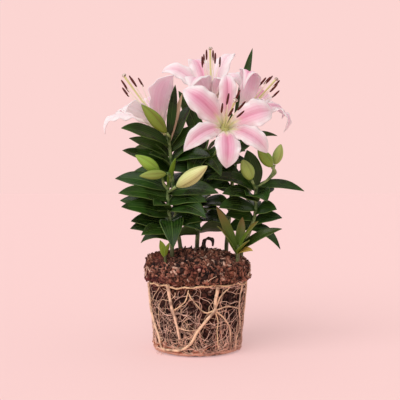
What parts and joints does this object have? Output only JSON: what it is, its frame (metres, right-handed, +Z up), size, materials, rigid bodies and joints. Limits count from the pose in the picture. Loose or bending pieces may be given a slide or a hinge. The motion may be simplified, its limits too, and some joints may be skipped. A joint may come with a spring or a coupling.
{
  "type": "oriental lily with root ball",
  "caption": "Flowering oriental lily lifted from its pot, standing on its bare, pot-shaped root ball, for garden and patio scenes.",
  "frame": {"origin": "centre of the root ball's flat foot, on the surface that the plant stands on", "axes": "+Z up along the stems, -Y towards the side with the front bloom, which is the side that the picture shows, +X to its right"},
  "size_m": [0.3025, 0.2083, 0.4665],
  "materials": {
    "soil": "matte",
    "root": "matte",
    "dry": "matte",
    "leaf": "satin",
    "shoot": "satin",
    "petal": "satin",
    "stamen": "matte",
    "bud": "satin"
  },
  "bodies": {
    "root": {"soil_ball": "soil", "root_net": "root", "dry_leaf": "dry", "bloom_front": "petal", "bloom_top": "petal", "bloom_left": "petal", "bloom_right": "petal", "stamens_front": "stamen", "stamens_top": "stamen", "stamens_left": "stamen", "stamens_right": "stamen", "bud_olive": "bud", "bud_green": "bud", "bud_low": "bud", "bud_yellow": "bud", "bud_right_low": "bud", "bud_right_mid": "bud", "bud_right_high": "bud", "stem_left_front": "leaf", "stem_left_back": "leaf", "stem_centre": "leaf", "stem_right": "leaf", "stem_right_back": "leaf", "shoot_right": "shoot", "shoot_left": "shoot"}
  },
  "joints": []
}
